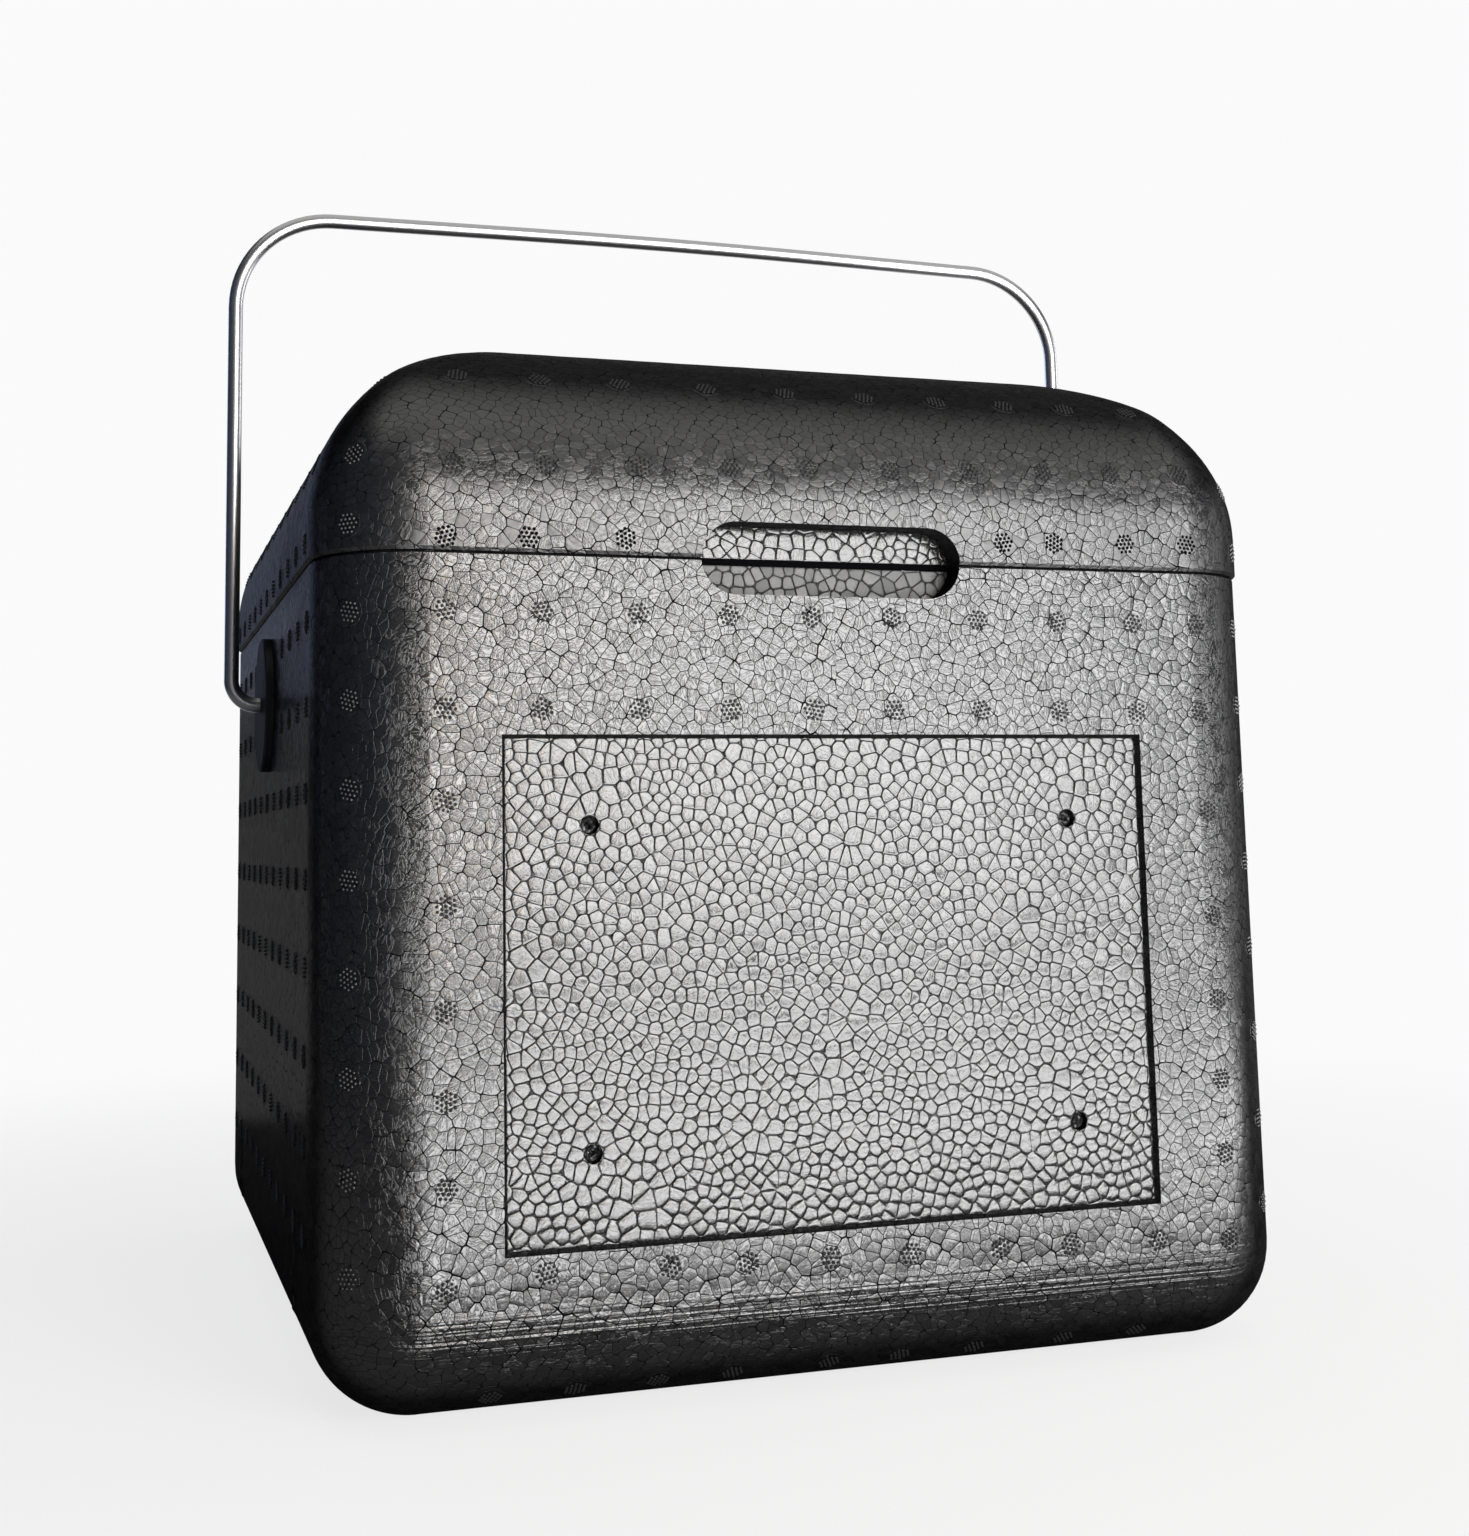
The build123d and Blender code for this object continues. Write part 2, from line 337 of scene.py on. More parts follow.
    # Each bead leans its own way, and its crinkles run its own way
    to_centre = node(
        tree, "ShaderNodeVectorMath", {0: warped, 1: cell.outputs["Position"]}, operation="SUBTRACT"
    ).outputs[0]
    own = node(tree, "ShaderNodeSeparateColor", {0: cell.outputs["Color"]})
    lean = node(
        tree, "ShaderNodeVectorMath", {0: cell.outputs["Color"], 1: (0.5, 0.5, 0.5)},
        operation="SUBTRACT",
    ).outputs[0]
    slope = node(
        tree, "ShaderNodeVectorMath", {0: to_centre, 1: lean}, operation="DOT_PRODUCT"
    ).outputs["Value"]
    angle = node(
        tree, "ShaderNodeMath", {0: own.outputs["Blue"], 1: 2 * pi}, operation="MULTIPLY"
    ).outputs[0]
    turned = node(
        tree, "ShaderNodeVectorRotate", {"Vector": to_centre, "Angle": angle},
        rotation_type="Z_AXIS",
    ).outputs[0]
    drawn_out = node(
        tree, "ShaderNodeVectorMath", {0: turned, 1: (1.0, 0.35, 1.0), 2: cell.outputs["Color"]},
        operation="MULTIPLY_ADD",
    ).outputs[0]
    creases = crease_lines(tree, drawn_out)

    # Lines that the mould's cutter left, on the two curves that run along a wall
    streaks = node(
        tree, "ShaderNodeTexNoise",
        {"Vector": node(tree, "ShaderNodeVectorMath", {0: sheet, 1: (0.012, 1.0, 1.0)},
                        operation="MULTIPLY").outputs[0],
         "Scale": 1 / (STREAK_WIDTH * MM), "Detail": 1.0},
    ).outputs["Fac"]
    above_base = node(
        tree, "ShaderNodeMapRange",
        {"Value": height_up, "From Min": 17 * MM, "From Max": 26 * MM},
        interpolation_type="SMOOTHSTEP",
    ).outputs[0]
    near_base = node(
        tree, "ShaderNodeMapRange",
        {"Value": height_up, "From Min": 24 * MM, "From Max": 35 * MM,
         "To Min": above_base, "To Max": 0.0},
    ).outputs[0]
    on_curve = node(
        tree, "ShaderNodeMath", {0: on_dome, 1: 0.04, 2: near_base}, operation="MULTIPLY_ADD"
    ).outputs[0]
    streaks = node(
        tree, "ShaderNodeMath", {0: streaks, 1: on_curve}, operation="MULTIPLY"
    ).outputs[0]

    height = node(
        tree, "ShaderNodeMath", {0: crown, 1: PILLOW}, operation="MULTIPLY"
    ).outputs[0]
    for part, depth in (
        (joint, -JOINT_DEPTH),
        (slope, BEAD_LEAN / MM),
        (creases, CRINKLE),
        (streaks, STREAK_DEPTH),
    ):
        height = node(
            tree, "ShaderNodeMath", {0: part, 1: depth, 2: height}, operation="MULTIPLY_ADD"
        ).outputs[0]
    # The relief is softer where the surface turns to the side, and softer still up the lid
    relief = node(
        tree, "ShaderNodeMapRange",
        {"Value": turn.outputs["X"], "From Min": 0.06, "From Max": 0.30,
         "To Min": 1.0, "To Max": 0.60},
    ).outputs[0]
    lid_share = node(
        tree, "ShaderNodeMapRange",
        {"Value": height_up, "From Min": 259 * MM, "From Max": 300 * MM,
         "To Min": 0.95, "To Max": 0.6},
    ).outputs[0]
    on_lid = node(
        tree, "ShaderNodeMath", {0: height_up, 1: PARTING_LEVEL * MM}, operation="GREATER_THAN"
    ).outputs[0]
    relief = node(
        tree, "ShaderNodeMix",
        {"Factor": on_lid, 2: relief,
         3: node(tree, "ShaderNodeMath", {0: relief, 1: lid_share},
                 operation="MULTIPLY").outputs[0]},
    ).outputs[0]
    bump = node(tree, "ShaderNodeBump", {"Strength": relief, "Distance": MM, "Height": height})

    shade = node(
        tree, "ShaderNodeMix",
        {"Factor": own.outputs["Red"], 6: paint("#0a0a0b"), 7: paint("#131314")},
        data_type="RGBA",
    ).outputs[2]
    # Painted shade: the sunken joints and open corners are coloured near-black, for the shade down
    # in them
    colour = node(
        tree, "ShaderNodeMix", {"Factor": joint, 6: shade, 7: paint("#050506")}, data_type="RGBA"
    ).outputs[2]
    roughness = node(
        tree, "ShaderNodeMapRange",
        {"Value": own.outputs["Green"], "To Min": SKIN_SHINE[0], "To Max": SKIN_SHINE[1]},
    ).outputs[0]
    roughness = node(
        tree, "ShaderNodeMath", {0: on_lid, 1: LID_WEAR, 2: roughness}, operation="MULTIPLY_ADD"
    ).outputs[0]
    finish_black(tree, output, colour, roughness, bump, joint)
    return material


def pressed_bead_foam(name, shine=SKIN_SHINE):
    """The same foam where the mould pressed it less: whole beads with a fine crinkled skin.

    The beads and grooves are in the mesh; "groove" is 1 at the bottom of a groove, and
    "tone" is a number of its own for each bead; groove bottoms are darker as painted shade.
    """
    material, tree, output = new_material(name)
    place = node(tree, "ShaderNodeTexCoord").outputs["Object"]
    groove = node(tree, "ShaderNodeAttribute", attribute_name="groove").outputs["Fac"]
    tone = node(tree, "ShaderNodeAttribute", attribute_name="tone").outputs["Fac"]
    # Each bead has crinkles of its own, drawn out in a direction of its own
    angle = node(tree, "ShaderNodeMath", {0: tone, 1: 40.0}, operation="MULTIPLY").outputs[0]
    turned = node(
        tree, "ShaderNodeVectorRotate", {"Vector": place, "Angle": angle}, rotation_type="Y_AXIS"
    ).outputs[0]
    drawn_out = node(
        tree, "ShaderNodeVectorMath", {0: turned, 1: (1.0, 1.0, 0.35)}, operation="MULTIPLY"
    ).outputs[0]
    height = node(
        tree, "ShaderNodeMath", {0: crease_lines(tree, drawn_out), 1: 0.4 * CRINKLE},
        operation="MULTIPLY",
    ).outputs[0]
    bump = node(tree, "ShaderNodeBump", {"Strength": 1.0, "Distance": MM, "Height": height})
    shade = node(
        tree, "ShaderNodeMix", {"Factor": tone, 6: paint("#0a0a0b"), 7: paint("#131314")},
        data_type="RGBA",
    ).outputs[2]
    # Painted shade: groove bottoms are coloured darker (#060607), for the shade down in a groove
    colour = node(
        tree, "ShaderNodeMix", {"Factor": groove, 6: shade, 7: paint("#060607")}, data_type="RGBA"
    ).outputs[2]
    roughness = node(
        tree, "ShaderNodeMapRange",
        {"Value": tone, "To Min": shine[0], "To Max": shine[1]},
    ).outputs[0]
    dull_share = node(
        tree, "ShaderNodeMapRange", {"Value": groove, "From Min": 0.35, "From Max": 0.8}
    ).outputs[0]
    finish_black(tree, output, colour, roughness, bump, dull_share)
    return material


def steamed_foam_skin(name, shine):
    """Foam skin melted smooth against metal, with only faint ripples."""
    material, tree, output = new_material(name)
    place = node(tree, "ShaderNodeTexCoord").outputs["Object"]
    ripples = node(
        tree, "ShaderNodeTexNoise", {"Vector": place, "Scale": 1 / (1.2 * MM), "Detail": 3.0}
    ).outputs["Fac"]
    height = node(tree, "ShaderNodeMath", {0: ripples, 1: 0.02}, operation="MULTIPLY").outputs[0]
    bump = node(tree, "ShaderNodeBump", {"Strength": 1.0, "Distance": MM, "Height": height})
    roughness = node(
        tree, "ShaderNodeMapRange", {"Value": ripples, "To Min": shine[0], "To Max": shine[1]}
    ).outputs[0]
    colour = node(
        tree, "ShaderNodeMix", {"Factor": ripples, 6: paint("#0c0c0d"), 7: paint("#141415")},
        data_type="RGBA",
    ).outputs[2]
    finish_black(tree, output, colour, roughness, bump)
    return material


def torn_foam_ends(name):
    """Rough foam torn off at the vents: matt, a little greyer than the skin."""
    material, tree, output = new_material(name)
    place = node(tree, "ShaderNodeTexCoord").outputs["Object"]
    grain = node(
        tree, "ShaderNodeTexNoise", {"Vector": place, "Scale": 1 / (0.4 * MM), "Detail": 2.0}
    ).outputs["Fac"]
    colour = node(
        tree, "ShaderNodeMix", {"Factor": grain, 6: paint("#0c0c0d"), 7: paint("#1c1c1d")},
        data_type="RGBA",
    ).outputs[2]
    matt = node(
        tree, "ShaderNodeBsdfPrincipled",
        {"Base Color": colour, "Roughness": 0.75, "IOR": 1.49, "Specular IOR Level": 0.3},
    )
    tree.links.new(matt.outputs[0], output.inputs[0])
    return material


def drawn_stainless_wire():
    """Bright-drawn stainless steel wire: faint lengthwise drawing lines in a soft mirror."""
    material, tree, output = new_material("drawn_stainless_wire")
    place = node(tree, "ShaderNodeTexCoord").outputs["Object"]
    mottle = node(
        tree, "ShaderNodeTexNoise", {"Vector": place, "Scale": 1 / (2 * MM), "Detail": 3.0}
    ).outputs["Fac"]
    roughness = node(
        tree, "ShaderNodeMapRange", {"Value": mottle, "To Min": 0.29, "To Max": 0.35}
    ).outputs[0]
    steel = node(
        tree, "ShaderNodeBsdfPrincipled",
        {"Base Color": paint("#b4b4b7"), "Metallic": 1.0, "Roughness": roughness},
    )
    tree.links.new(steel.outputs[0], output.inputs[0])
    return material


def moulded_black_plastic():
    """Injection-moulded black polypropylene: an even satin with faint flow marks."""
    material, tree, output = new_material("moulded_black_plastic")
    place = node(tree, "ShaderNodeTexCoord").outputs["Object"]
    flow = node(
        tree, "ShaderNodeTexNoise", {"Vector": place, "Scale": 1 / (6 * MM), "Detail": 4.0}
    ).outputs["Fac"]
    roughness = node(
        tree, "ShaderNodeMapRange", {"Value": flow, "To Min": 0.45, "To Max": 0.60}
    ).outputs[0]
    moulding = node(tree, "ShaderNodeMath", {0: flow, 1: 0.02}, operation="MULTIPLY").outputs[0]
    bump = node(tree, "ShaderNodeBump", {"Strength": 1.0, "Distance": MM, "Height": moulding})
    finish_black(tree, output, paint("#131519"), roughness, bump, shine=0.3, most=0.85)
    return material


def pale_studio_paper(name, near_glow, glow_colour="#fafafa"):
    """Paper or paint that the camera and mirrors see as one plain tone, the glow's colour.

    Near the object the glow gives way to white paper that takes light and shadow;
    near_glow is the share of the glow that is left there.
    """
    material, tree, output = new_material(name)
    paper = node(tree, "ShaderNodeBsdfDiffuse", {"Color": paint("#f2f2f2")})
    glow = node(tree, "ShaderNodeEmission", {"Color": paint(glow_colour), "Strength": 1.0})
    rays = node(tree, "ShaderNodeLightPath")
    seen = node(
        tree, "ShaderNodeMath",
        {0: rays.outputs["Is Camera Ray"], 1: rays.outputs["Is Glossy Ray"]}, operation="MAXIMUM",
    ).outputs[0]
    seen = node(
        tree, "ShaderNodeMath", {0: seen, 1: rays.outputs["Is Transmission Ray"]},
        operation="MAXIMUM",
    ).outputs[0]
    place = node(tree, "ShaderNodeTexCoord").outputs["Object"]
    away = node(tree, "ShaderNodeVectorMath", {0: place}, operation="LENGTH").outputs["Value"]
    share = node(
        tree, "ShaderNodeMapRange",
        {"Value": away, "From Min": 0.25, "From Max": 0.90, "To Min": near_glow, "To Max": 1.0},
        interpolation_type="SMOOTHSTEP",
    ).outputs[0]
    share = node(tree, "ShaderNodeMath", {0: seen, 1: share}, operation="MULTIPLY").outputs[0]
    mixed = node(
        tree, "ShaderNodeMixShader", {0: share, 1: paper.outputs[0], 2: glow.outputs[0]}
    )
    tree.links.new(mixed.outputs[0], output.inputs[0])
    return material


# ---- Stage ------------------------------------------------------------------


def make_stage():
    """Round pale floor, a grey wall round it, and a pale sweep behind the object."""
    floor_paper = pale_studio_paper("pale_floor_paper", 0.8)
    sweep_paper = pale_studio_paper("pale_sweep_paper", 1.0)
    wall_paint = pale_studio_paper("grey_wall_paint", 1.0, "#868686")
    sides = FLOOR_SIDES
    rim = [(FLOOR_RADIUS * cos(2 * pi * i / sides), FLOOR_RADIUS * sin(2 * pi * i / sides), 0.0)
           for i in range(sides)]
    floor = make_object("studio_floor", rim, [tuple(range(sides))], smooth=False)
    dress(floor, floor_paper)

    wall = [(x, y, z) for z in (0.0, SWEEP_HEIGHT + WALL_ABOVE_SWEEP) for x, y, _ in rim]
    faces = [(i, (i + 1) % sides, sides + (i + 1) % sides, sides + i) for i in range(sides)]
    dress(make_object("studio_wall", wall, faces), wall_paint)

    profile = [(SWEEP_DISTANCE - SWEEP_BEND, 0.0)]
    for step in range(1, SWEEP_STEPS + 1):
        angle = radians(90 * step / SWEEP_STEPS)
        away = SWEEP_DISTANCE - SWEEP_BEND * (1 - sin(angle))
        profile.append((away, SWEEP_BEND * (1 - cos(angle))))
    profile.append((SWEEP_DISTANCE, SWEEP_HEIGHT))
    turn = radians(CAMERA_ANGLES[2])
    points, faces = [], []
    for away, height in profile:
        for across in (-SWEEP_WIDTH / 2, SWEEP_WIDTH / 2):
            x = CAMERA_PLACE[0] * MM + across * cos(turn) - (away + SWEEP_BEHIND) * sin(turn)
            y = CAMERA_PLACE[1] * MM + across * sin(turn) + (away + SWEEP_BEHIND) * cos(turn)
            points.append((x, y, height + SWEEP_ABOVE_FLOOR))
    for i in range(len(profile) - 1):
        faces.append((2 * i, 2 * i + 1, 2 * i + 3, 2 * i + 2))
    dress(make_object("studio_sweep", points, faces), sweep_paper)


def softbox(name, place, target, width, height, radiance, colour="#ffffff"):
    """Area lamp that faces a target; radiance is the brightness of its face."""
    data = bpy.data.lights.new(name, "AREA")
    data.shape = "RECTANGLE"
    data.size, data.size_y = width, height
    data.energy = radiance * pi * width * height
    data.color = paint(colour)[:3]
    lamp = bpy.data.objects.new(name, data)
    lamp.visible_camera = False
    lamp.location = place
    lamp.rotation_euler = (Vector(target) - Vector(place)).to_track_quat("-Z", "Y").to_euler()
    bpy.context.scene.collection.objects.link(lamp)


def reflection_card(name, low, high, colour):
    """Grey card that only reflections see, to keep what the foam mirrors there dark."""
    (x0, y0, z0), (x1, y1, z1) = low, high
    corners = [(x0, y0, z0), (x1, y0, z0), (x1, y1, z1), (x0, y1, z1)]
    if x0 == x1:
        corners = [(x0, y0, z0), (x0, y1, z0), (x0, y1, z1), (x0, y0, z1)]
    card = make_object(name, corners, [(0, 1, 2, 3)], smooth=False)
    card.visible_camera = card.visible_diffuse = card.visible_shadow = False
    material, tree, output = new_material(name)
    felt = node(tree, "ShaderNodeBsdfDiffuse", {"Color": paint(colour)})
    tree.links.new(felt.outputs[0], output.inputs[0])
    dress(card, material)


def make_lights():
    """Reflection cards, lamps and the air's faint fill; places and sizes in metres."""
    reflection_card("left_flag", (-0.8, -1.3, 0.0), (-0.8, 0.9, 0.9), "#3a404a")
    reflection_card("floor_flag", (-0.8, -0.29, 0.0015), (0.5, 0.5, 0.0015), "#909090")
    reflection_card("near_flag", (-0.8, -1.2, 0.0015), (-0.13, -0.29, 0.0015), "#707070")
    softbox("key_softbox", (0.58, -1.62, 0.54), (0, 0, 0.2), 0.87, 1.02, 8.6)
    softbox("left_softbox", (0.09, -1.66, 0.54), (0, 0, 0.2), 0.24, 1.02, 4.8, "#ffecd2")
    softbox("wide_softbox", (0.92, -1.90, 0.28), (0, 0, 0.2), 2.1, 0.50, 1.3)
    softbox("floor_card", (0.335, -0.65, 0.01), (0.335, -0.65, 1.0), 0.95, 0.7, 7.9)
    softbox("right_softbox", (1.75, 0.15, 0.5), (0, 0, 0.25), 0.7, 0.9, 4.0)
    softbox("back_softbox", (-0.9, 2.3, 0.85), (0, 0, 0.25), 1.6, 0.9, 2.0, "#b8ccff")
    softbox("top_softbox", (0.3, -0.1, 2.0), (0, 0, 0.2), 3.0, 3.0, 0.85, "#f6f4ee")
    world = bpy.data.worlds.new("studio_air")
    bpy.context.scene.world = world
    world.use_nodes = True
    tree = world.node_tree
    tree.nodes.clear()
    air = node(tree, "ShaderNodeBackground", {"Color": paint("#dbe6ff"), "Strength": 0.06})
    tree.links.new(air.outputs[0], node(tree, "ShaderNodeOutputWorld").inputs[0])


# ---- Bead relief in the recesses --------------------------------------------

PARTING_GAP = 1.1  # mm, of bare foam from the parting to the first beads
GROOVE_HEIGHT = 0.03  # mm, bottom of the grooves above the solid foam behind
CORNER_CUTS = (0.20, 0.50)  # mm, size of the dark corners between three beads
VOID_CUT = 0.7  # mm more, where the beads left a hole
VOID_SHARE = 0.14
SHAKES = 14  # rounds of pushing the beads apart
PUSH_REACH = 1.35  # bead spacings
NEIGHBOURS = 21  # beads that can bound a bead


def clip(outline, point, outward):
    """The part of a convex outline on the inner side of a line."""
    kept = []
    for i, (x, y) in enumerate(outline):
        last_x, last_y = outline[i - 1]
        here = (x - point[0]) * outward[0] + (y - point[1]) * outward[1]
        last = (last_x - point[0]) * outward[0] + (last_y - point[1]) * outward[1]
        if (here > 0) != (last > 0):
            share = last / (last - here)
            kept.append((last_x + (x - last_x) * share, last_y + (y - last_y) * share))
        if here <= 0:
            kept.append((x, y))
    return kept


def bead_centres(rng, low, high, holes=(), hole_radius=0.0):
    """Beads dropped at random on a rectangle and shaken until they are evenly packed.

    Beads sit in rings round any holes.  Returns the centres, and the indices of those
    in the holes.
    """
    margin = 1.5 * BEAD
    low, high = np.array(low) - margin, np.array(high) + margin
    count = int(np.prod(high - low) / (0.98 * BEAD**2))
    loose = rng.uniform(low, high, (count, 2))
    fixed = list(holes)
    around = int(4 * pi * hole_radius / BEAD)
    for hx, hy in holes:
        for turn in (np.arange(around) + rng.normal(0, 0.06, around)) * 2 * pi / around:
            fixed.append((hx + 2 * hole_radius * cos(turn), hy + 2 * hole_radius * sin(turn)))
    fixed = np.array(fixed).reshape(-1, 2)
    for hole in fixed[: len(holes)]:
        loose = loose[np.hypot(*(loose - hole).T) > 2 * hole_radius + 0.5 * BEAD]
    reach = PUSH_REACH * BEAD
    for _ in range(SHAKES):
        centres = np.vstack([fixed, loose])
        gap = loose[:, None, :] - centres[None, :, :]
        away = np.sqrt((gap**2).sum(axis=2)) + 1e-9
        push = np.where((away < reach) & (away > 1e-6), 1 - away / reach, 0) / away
        loose = loose + (gap * push[:, :, None]).sum(axis=1) * 0.45
        loose = np.clip(loose, low, high)
    return np.vstack([fixed, loose]), set(range(len(holes)))


def bead_relief(name, centres, skipped, limits, place, top, crown, groove, rng, bare=()):
    """Sheet of rounded beads pressed against each other, with grooves between them.

    Works in a flat frame (x, y, height above the solid foam) in mm, which place
    turns into a point in the scene.  limits are the lines that bound the sheet,
    each a point and its outward direction; crown(x, y) is the rise of a bead's middle,
    and groove is half the width of the grooves.
    bare outlines get no beads and take the grooves' dark colour, as painted shade.
    """
    points, grooves, tones, faces = [], [], [], []
    shared = {}

    def add(x, y, height, depth, tone):
        points.append(place(x, y, height))
        grooves.append(depth)
        tones.append(tone)
        return len(points) - 1

    for index, centre in enumerate(centres):
        lean = rng.normal(0, 0.012, 2)
        rise = top + rng.normal(0, 0.03)
        tone = rng.random()
        if index in skipped:
            continue
        away = np.hypot(*(centres - centre).T)
        outline = [(centre[0] + dx * 3 * BEAD, centre[1] + dy * 3 * BEAD)
                   for dx, dy in ((-1, -1), (1, -1), (1, 1), (-1, 1))]
        for other in np.argsort(away)[1 : NEIGHBOURS + 1]:
            middle = (centre + centres[other]) / 2
            outline = clip(outline, middle, centres[other] - centre)
        for point, outward in limits:
            outline = clip(outline, point, outward)
        corners = [p for i, p in enumerate(outline)
                   if np.hypot(p[0] - outline[i - 1][0], p[1] - outline[i - 1][1]) > 1e-3]
        if len(corners) < 3:
            continue
        corner = np.array(corners)
        following = np.roll(corner, -1, axis=0)
        cross = corner[:, 0] * following[:, 1] - following[:, 0] * corner[:, 1]
        area = cross.sum() / 2
        if area < 0.4:
            continue
        middle = ((corner + following) * cross[:, None]).sum(axis=0) / (6 * area)
        radius = (area / pi) ** 0.5
        bulge = min(crown(*middle), 0.22 * radius)

        def height(x, y):
            dx, dy = x - middle[0], y - middle[1]
            tilt = lean[0] * dx + lean[1] * dy
            return rise + bulge + tilt - bulge * (dx * dx + dy * dy) / radius**2

        count = len(corner)
        groove_ring, cuts = [], []
        for x, y in corner:
            key = (round(x * 20), round(y * 20))
            if key not in shared:
                cut = rng.uniform(*CORNER_CUTS) + VOID_CUT * (rng.random() < VOID_SHARE)
                shared[key] = add(x, y, GROOVE_HEIGHT, 1.0, tone), cut
            groove_ring.append(shared[key][0])
            cuts.append(shared[key][1])
        rings = []
        for scale, cut_share, drop in (
            (1 - groove / radius, 0.0, 0.04),
            (0.80, 0.06, 0.0),
            (0.42, 0.12, 0.0),
        ):
            ring = []
            for i in range(count):
                for neighbour in (corner[i - 1], following[i]):
                    edge = neighbour - corner[i]
                    share = min(0.36, cuts[i] / max(np.hypot(*edge), 1e-6) + cut_share)
                    x, y = middle + (corner[i] + edge * share - middle) * scale
                    level = max(height(x, y) - drop, GROOVE_HEIGHT + 0.02)
                    ring.append(add(x, y, level, 0.0, tone))
            rings.append(ring)
        shoulder = rings[0]
        for i in range(count):
            after = (i + 1) % count
            faces.append((groove_ring[i], shoulder[2 * i + 1], shoulder[2 * i]))
            wall = (groove_ring[i], groove_ring[after], shoulder[2 * after], shoulder[2 * i + 1])
            faces.append(wall if wall[0] != wall[1] else wall[1:])
        for outer, inner in zip(rings, rings[1:]):
            for i in range(2 * count):
                after = (i + 1) % (2 * count)
                faces.append((outer[i], outer[after], inner[after], inner[i]))
        peak = add(*middle, height(*middle), 0.0, tone)
        for i in range(2 * count):
            faces.append((rings[-1][i], rings[-1][(i + 1) % (2 * count)], peak))
    # Painted shade: the bare strips lie flat and are coloured as dark as a groove bottom
    for outline in bare:
        faces.append(tuple(add(x, y, GROOVE_HEIGHT, 1.0, 0.0) for x, y in outline))
    relief = make_object(name, points, faces)
    for attribute, values in (("groove", grooves), ("tone", tones)):
        layer = relief.data.attributes.new(attribute, "FLOAT", "POINT")
        layer.data.foreach_set("value", values)
    return relief


def panel_relief():
    """Floor of the recessed panel, open at the four pits."""
    rng = np.random.default_rng(11)
    half_width = PANEL_WIDTH / 2 - PANEL_SLOPE
    half_height = PANEL_HEIGHT / 2 - PANEL_SLOPE
    pits = [(side * PIT_SPACING[0] / 2, level * PIT_SPACING[1] / 2)
            for side in (-1, 1) for level in (-1, 1)]
    centres, skipped = bead_centres(
        rng, (-half_width, -half_height), (half_width, half_height), pits, PIT_RADIUS
    )
    limits = [((-half_width, 0), (-1, 0)), ((half_width, 0), (1, 0)),
              ((0, -half_height), (0, -1)), ((0, half_height), (0, 1))]
    floor = front_face / MM + PANEL_DEPTH

    def place(x, y, height):
        return x * MM, (floor - height) * MM, (PANEL_CENTRE + y) * MM

    def crown(x, y):
        return 0.02 + 0.16 * np.clip((20 - y + 0.15 * x) / 96, 0, 1) ** 1.5

    return bead_relief("panel_beads", centres, skipped, limits, place, 0.22, crown, 0.07, rng)


def notch_relief(name, side, seed):
    """Floor of one half of the finger notch; side is -1 for the tub and 1 for the lid."""
    rng = np.random.default_rng(seed)
    radius = NOTCH_HEIGHT / 2
    reach = NOTCH_WIDTH / 2 - radius
    low, high = (-NOTCH_WIDTH / 2, min(0, side * radius)), (NOTCH_WIDTH / 2, max(0, side * radius))
    centres, skipped = bead_centres(rng, low, high)
    limits = [((0, PARTING_GAP * side), (0, -side))]
    for end in (-1, 1):
        for angle in np.radians(np.arange(0, 91, 7.5)):
            outward = (end * cos(angle), side * sin(angle))
            limits.append(((end * reach + radius * outward[0], radius * outward[1]), outward))
    floor = front_face / MM + NOTCH_DEPTH

    def place(x, y, height):
        return x * MM, (floor - height) * MM, parting_height + y * MM

    # The bare strip along the parting is painted groove-dark, for the shade in the parting's groove
    end = NOTCH_WIDTH / 2 - 0.1
    gap = sorted((0.002 * side, PARTING_GAP * side))
    return bead_relief(
        name, centres, skipped, limits, place, 0.30, lambda x, y: 0.05, 0.11, rng,
        bare=[[(-end, gap[0]), (end, gap[0]), (end, gap[1]), (-end, gap[1])]],
    )


# ---- Marks that the mould leaves --------------------------------------------

# Sizes of the marks, in mm
VENT_RADIUS = 4.6
VENT_RISE = 0.06
VENT_BEVEL = 0.15
PIP_PITCH = 1.55
PIP_RADIUS = 0.60
WORN_PIP_RADIUS = 0.48  # on the corners, where hands rub them
PIP_RISE = 0.44
PIP_PROFILE = ((1.0, 0.0), (0.86, 0.24), (0.50, 0.38))  # share of the radius, rise
VENT_PITCH = 27.0  # between the vents of the mould
SIDES = 24  # of a vent or filler mark
PIP_SIDES = 6
LOOK_FROM = 3  # above the surface, where the search for it starts
PATCH_SIDES = 12  # of a patch of torn foam
PATCH_RINGS = 5
FILLER_PLACES = (-104.0, 112.0)  # from the middle, along the sides
FILLER_PROFILE = ((7.6, 0.0), (7.1, 0.30), (6.5, 0.32), (6.0, 0.06), (3.0, 0.10))  # radius, rise


def surface_finder(node_name):
    """Function that gives the point and normal where a line meets a node's surface, in mm."""
    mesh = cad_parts[node_name].data
    tree = BVHTree.FromPolygons(
        [v.co / MM for v in mesh.vertices], [tuple(p.vertices) for p in mesh.polygons]
    )
    return lambda start, direction: tree.ray_cast(Vector(start), Vector(direction))[:2]


def tangents(normal, spin):
    """Two directions along a surface, turned by spin about its normal."""
    first = normal.orthogonal().normalized()
    second = normal.cross(first)
    return first * cos(spin) + second * sin(spin), second * cos(spin) - first * sin(spin)


def pip_pattern():
    """Places of a vent's nineteen pips about its middle, in mm."""
    return [(0.0, 0.0)] + [
        (ring * cos(radians(angle)), ring * sin(radians(angle)))
        for ring, angles in (
            (PIP_PITCH, range(0, 360, 60)),
            (PIP_PITCH * 3**0.5, range(30, 360, 60)),
            (PIP_PITCH * 2, range(0, 360, 60)),
        )
        for angle in angles
    ]


